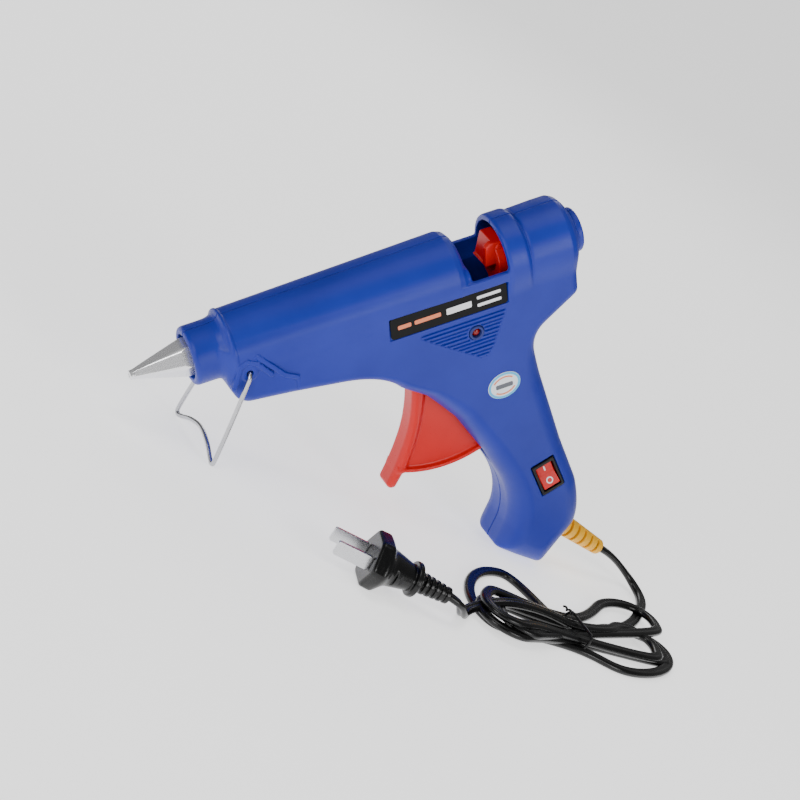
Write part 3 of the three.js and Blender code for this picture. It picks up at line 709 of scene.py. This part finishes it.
def rocker_frame(along):
    """The matrix of a frame lying on the rocker's face, at a distance along it from its middle."""
    turn = Matrix.Rotation(SWITCH_TURN, 4, "Z")
    tilt = Matrix.Rotation(-ROCKER_TILT, 4, "X")
    slope = math.atan2(1.6, 6.5) * (1 if along > 0 else -1)
    lift = 14.3 + abs(along) * 1.6 / 6.5 - 11.5
    face = Matrix.Translation((0, along, lift)) @ Matrix.Rotation(slope, 4, "X")
    middle = Matrix.Translation((SWITCH[0], SWITCH[1], 11.5))
    return GUN @ middle @ turn @ tilt @ face


slab("mark_on", round_rectangle((-0.35, -1.5), (0.35, 1.5), 0.3), -0.1, 0.08, 0.04, PRINT_WHITE, "rocker",
     rocker_frame(3.4), "sticker")
ring_plate("mark_off", circle(1.6, 32), circle(1.05, 32), -0.1, 0.08, PRINT_WHITE, "rocker",
           rocker_frame(-3.4))


# ---------- label, sticker and indicator ----------
a, b = LABEL
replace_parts(slab("label_film_plate", round_rectangle(a, b, 1.2), LABEL_FACE - 0.7, LABEL_FACE, 0.12,
                 LABEL_FILM, "housing", slot="label_black"), "label_plate")
# Plain bars where the label carries print: name, first and last x, middle height, height of bar, ink.
LABEL_BARS = (("orange_bar_1", 110.5, 116.5, -8.6, 2.0, PRINT_ORANGE),
              ("orange_bar_2", 118, 130, -8.6, 2.0, PRINT_ORANGE),
              ("white_bar_1", 132.5, 144, -8.6, 3.0, PRINT_WHITE),
              ("white_bar_2", 146.5, 157.5, -6.7, 1.5, PRINT_WHITE),
              ("white_bar_3", 146.5, 157.5, -10.4, 1.5, PRINT_WHITE))
for name, x0, x1, middle, tall, ink in LABEL_BARS:
    slab(name, round_rectangle((x0, middle - tall / 2), (x1, middle + tall / 2), 0.5), LABEL_FACE - 0.05,
         LABEL_FACE + 0.04, 0.02, ink, "housing", slot="sticker")


def oval(long, short, start=0, end=360, count=48, at=STICKER, turn=8):
    points = []
    for k in range(count if end - start == 360 else count + 1):
        t = math.radians(start + (end - start) * k / count)
        u, v = long * math.cos(t), short * math.sin(t)
        c, s = math.cos(math.radians(turn)), math.sin(math.radians(turn))
        points.append((at[0] + u * c - v * s, at[1] + u * s + v * c))
    return points


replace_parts(slab("sticker_film", oval(7.6, 6.4), SIDE - 0.1, SIDE + 0.22, 0.08, STICKER_FILM, "housing",
                 slot="sticker"), "rating_sticker")
ring_plate("sticker_rim", oval(7.45, 6.25), oval(6.4, 5.2), SIDE + 0.15, SIDE + 0.27, PRINT_CYAN, "housing")
for name, start in (("sticker_arc_1", 35), ("sticker_arc_2", 215)):
    outer, inner = oval(5.7, 4.5, start, start + 110, 20), oval(5.0, 3.8, start, start + 110, 20)
    slab(name, outer + inner[::-1], SIDE + 0.1, SIDE + 0.27, 0.01, PRINT_ORANGE, "housing", slot="sticker")
slab("sticker_bar", round_rectangle((151.4, -55.9), (159.4, -53.7), 0.6), SIDE + 0.1, SIDE + 0.27, 0.02,
     PRINT_GREY, "housing", slot="sticker")


def bezel(x, y, z):
    r = np.hypot(x - LED[0], y - LED[1])
    return rounded(rounded(r - 3.3, np.abs(z - 13.6) - 2.9, 0.5), 2.15 - r, 0.4)


def lens(x, y, z):
    r = np.hypot(x - LED[0], y - LED[1])
    dome = np.sqrt(r ** 2 + (z - 13.9) ** 2) - 2.1
    return join(dome, rounded(r - 2.1, np.abs(z - 12.4) - 1.5, 0.1), 0.1)


carved("led_bezel", bezel, (140, -28, 10), (150, -19, 17.5), 0.25, BLUE_DARK, "housing")
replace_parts(carved("led_dome", lens, (142, -27, 10), (148, -20, 17), 0.2, LENS, "housing"),
            "led_lens")


# ---------- strain relief ----------
def relief(x, y, z):
    a, b = turned_in(x, y, RELIEF_FROM, math.atan2(RELIEF_DIRECTION[1], RELIEF_DIRECTION[0]))
    r = np.hypot(b, z)
    body = rounded(r - (5.4 - 1.75 * np.clip(a / 36, 0, 1)), np.abs(a - 16.6) - 19.2, 0.8)
    for k in range(5):
        gap = rounded(np.maximum(np.abs(a - 11 - 5.2 * k) - 0.8, 2.3 - r), 1.2 - np.abs(z), 0.2)
        body = cut(body, gap, 0.2)
    return body


def relief_at(along):
    return [RELIEF_FROM[n] + along * RELIEF_DIRECTION[n] for n in (0, 1)] + [0]


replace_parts(carved("relief_sleeve", relief, (172, -178, -7), (206, -138, 7), 0.3,
                   YELLOW, "housing"), "strain_relief")


sweep("relief_core", [relief_at(a) for a in (6, 16, 26, 35)], circle(2.5), CORD, "housing")


# ---------- plug ----------
PLUG_FACE = (87, -82.5, 10.8)
PLUG_TURN = math.radians(160)
PLUG = CORDAGE @ Matrix.Translation(PLUG_FACE) @ Matrix.Rotation(PLUG_TURN, 4, "Z")
FACE_LINE = Outline([(-14.4, 0), (-7, -10.6), (7, -10.6), (14.4, 0), (7, 10.6), (-7, 10.6)],
                    soften=1.4, room=15)


def plug(x, y, z):
    r = np.hypot(y, z)
    head = rounded(FACE_LINE(y, z), np.abs(x + 3.4) - 3.2, 1.6)
    neck = rounded(np.hypot(y * 0.68, z) - (8.2 + 0.22 * (x + 6)), np.abs(x + 13) - 8.5, 1.2)
    collar = rounded(np.hypot(y * 0.8, z) - 7.2, np.abs(x + 21.4) - 1.3, 0.8)
    sleeve = rounded(r - (4.9 + 0.09 * (x + 22)), np.abs(x + 29.5) - 8.5, 0.6)
    for k in range(5):
        sleeve = cut(sleeve, np.maximum(np.abs(x + 25 + 2.6 * k) - 0.55, 3.1 - r), 0.3)
    body = join(join(head, neck, 4.0), collar, 0.8)
    body = join(body, sleeve, 0.5)
    grip = np.abs(y)
    for k in range(3):
        body = cut(body, rounded(np.abs(x + 11 + 3 * k) - 0.5, 9.2 - grip, 0.2), 0.3)
    return body


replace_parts(carved("plug_moulding", plug, (-40, -16, -12), (2, 16, 12), 0.35,
                   CORD, "housing", PLUG), "plug_body")


def plug_blade(side):
    def field(x, y, z):
        flat = rounded(np.abs(x - 7.9) - 7.9, np.abs(z) - 3.15, 1.0)
        return rounded(flat, np.abs(y - side * 6.35) - 0.75, 0.25)
    return field


for number, side in ((1, 1), (2, -1)):
    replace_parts(carved(f"plug_pin_{number}", plug_blade(side), (-1, side * 6.35 - 1.6, -4.2),
                       (18, side * 6.35 + 1.6, 4.2), 0.2, BLADE, "housing", PLUG),
                f"plug_blade_{number}")


# ---------- cord ----------
LEAD_OUT = [(267.4, 0, 14.2), (272, 0.4, 13.4), (278, 1, 11.8), (284, 1.4, 9.6), (290, 1, 6.9),
            (294.4, -1, 4.6), (296.8, -5, 2.8), (296.6, -11, 1.8), (293.6, -17, 1.4), (289.6, -22.4, 1.3)]
INTO_HANK = [(283, -29.5, 1.4), (274, -39, 1.5), (262, -48.5, 1.5), (246, -58, 1.4), (228, -67, 1.3),
             (213, -70.5, 1.3), (206.6, -63, 1.4), (205, -54, 1.3)]
OUT_OF_HANK = [(198, -74, 7.2), (183, -76, 8.6), (168, -78, 8.6), (157, -80, 6.2), (151, -81.6, 3.6)]
LEAD_TAIL = [(147.6, -82.6, 2.6), (144.8, -84.4, 2), (141.2, -87.6, 1.8), (137.6, -91.6, 2.9),
             (134, -94.6, 5.4), (130.4, -96.7, 8.6), (126.8, -97, 10), (123.1, -95.6, 10.6)]
# Each lobe of the winding: centre, long and short radius, tilt, first and last angle, first and last height.
# Between two lobes the cord passes the tie at the given point.
LOBES = (
    ((180, -62), 33, 17, 49, 8, 200, 1.3, 1.3), (209, -84, 1.3),
    ((246, -73), 35, 16, 25, 215, 455, 1.3, 1.5), (210, -75, 1.4),
    ((167, -84), 14.5, 13, 20, 80, 280, 4.0, 4.0), (210, -79.5, 1.5),
    ((258, -67), 16, 12, 30, -80, 125, 1.6, 3.6), (210, -73, 3.7),
    ((173, -85), 12, 10.5, 20, 80, 280, 6.0, 6.0), (210, -77.5, 3.7),
    ((262, -46), 24, 13.5, 33, -80, 120, 5.6, 1.5), (212, -68.8, 3.7),
    ((170, -80), 17, 12, 25, 75, 280, 7.4, 7.4), (210, -82, 3.7),
    ((250, -70), 17, 11, 28, -80, 125, 3.8, 5.6), (210, -75.5, 5.9),
)


def winding():
    points = []
    for lobe in LOBES:
        if len(lobe) == 3:
            points.append(lobe)
            continue
        centre, long, short, tilt, first, last, low, high = lobe
        c, s = math.cos(math.radians(tilt)), math.sin(math.radians(tilt))
        for k in range(9):
            share = k / 8
            t = math.radians(first + (last - first) * share)
            u, v = long * math.cos(t), short * math.sin(t)
            points.append((centre[0] + u * c - v * s, centre[1] + u * s + v * c, low + (high - low) * share))
    return points


route = np.array(LEAD_OUT + INTO_HANK + winding() + OUT_OF_HANK + LEAD_TAIL)
cord_line = spline(route, 6) + (0, 0, 0.32)
for _ in range(14):
    cord_line[1:-1] = (cord_line[:-2] + 2 * cord_line[1:-1] + cord_line[2:]) / 4
# Two round cores side by side with a shallow groove between them.
core = [(1.1 + 1.5 * math.cos(t), 1.5 * math.sin(t)) for t in np.radians(np.linspace(-125, 125, 10))]
twin = core + [(-x, -y) for x, y in core]
flex = sweep("cord_flex", cord_line, twin, CORD, "housing", CORDAGE)
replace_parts(flex, "power_cord", "cord_hank", "cord_tail")

tie_ring = round_rectangle((-87.6, 0.7), (-66.2, 9.2), 3.2, 5)
tie_line = [(210 + 0.22 * (z - 4.5), y, z) for y, z in tie_ring]
tie = sweep("tie_wire", spline(tie_line, 3, closed=True), circle(0.6, 10), BLACK, "housing", CORDAGE,
            closed=True, top=(1, 0, 0))
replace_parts(tie, "cord_tie")
twist = [(209.6 - 1.4 * t + 0.5 * math.cos(6 * t), -72 + 1.9 * t, 9.8 + 0.5 * math.sin(6 * t))
         for t in np.linspace(0, 2.6, 40)]
sweep("tie_twist", twist, circle(0.5, 8), BLACK, "housing", CORDAGE, top=(1, 0, 0))


# ---------- looks of the carried CAD nodes ----------
CARRIED = {"melt_chamber": ALUMINIUM, "ptc_heater": CERAMIC, "heater_clamp": STEEL,
           "front_heat_ring": CERAMIC, "feed_sleeve": SILICONE, "sleeve_clip": STEEL,
           "stick_guide": NATURAL, "trigger_pin": STEEL, "return_spring": STEEL, "push_link": NATURAL,
           "led_board": BOARD, "heater_lead_1": LEAD, "heater_lead_2": LEAD, "cord_clamp": BLACK}
CARRIED.update({f"housing_screw_{k}": STEEL for k in range(1, len(SCREWS) + 1)})
for name, material in CARRIED.items():
    mesh = frame["nodes"][name].data
    mesh.materials.clear()
    mesh.materials.append(material)


# ---------- floor and light ----------
# Name, place in metres, watts and width of each soft light.
LAMPS = (("key", (0.35, -1.3, 0.55), 8, 0.6), ("left", (-1.2, -0.7, 0.6), 7, 0.5),
         ("back", (0.5, 1.0, 0.8), 3, 0.6), ("top", (-0.2, 0, 1.4), 5, 0.8))


def studio():
    size = 6.0
    mesh = bpy.data.meshes.new("floor")
    corners = [(-size, -size, 0), (size, -size, 0), (size, size, 0), (-size, size, 0)]
    mesh.from_pydata(corners, [], [(0, 1, 2, 3)])
    mesh.materials.append(FLOOR)
    floor = bpy.data.objects.new("floor", mesh)
    bpy.context.scene.collection.objects.link(floor)
    world = bpy.data.worlds.new("studio")
    bpy.context.scene.world = world
    world.use_nodes = True
    world.node_tree.nodes["Background"].inputs["Color"].default_value = (1, 1, 1, 1)
    world.node_tree.nodes["Background"].inputs["Strength"].default_value = 0.2
    for name, at, power, width in LAMPS:
        lamp = bpy.data.lights.new(name, "AREA")
        lamp.energy = power
        lamp.size = width
        made = bpy.data.objects.new(name, lamp)
        made.location = at
        aim = Vector((0, 0, 0.08)) - Vector(at)
        made.rotation_euler = aim.to_track_quat("-Z", "Y").to_euler()
        bpy.context.scene.collection.objects.link(made)


FLOOR = finish("paper", (0.92, 0.92, 0.92), 0.8, grain=400, tone=0.005,
               **{"Emission Color": (1, 1, 1, 1), "Emission Strength": 1.1,
                  "Specular IOR Level": 0.1})
studio()
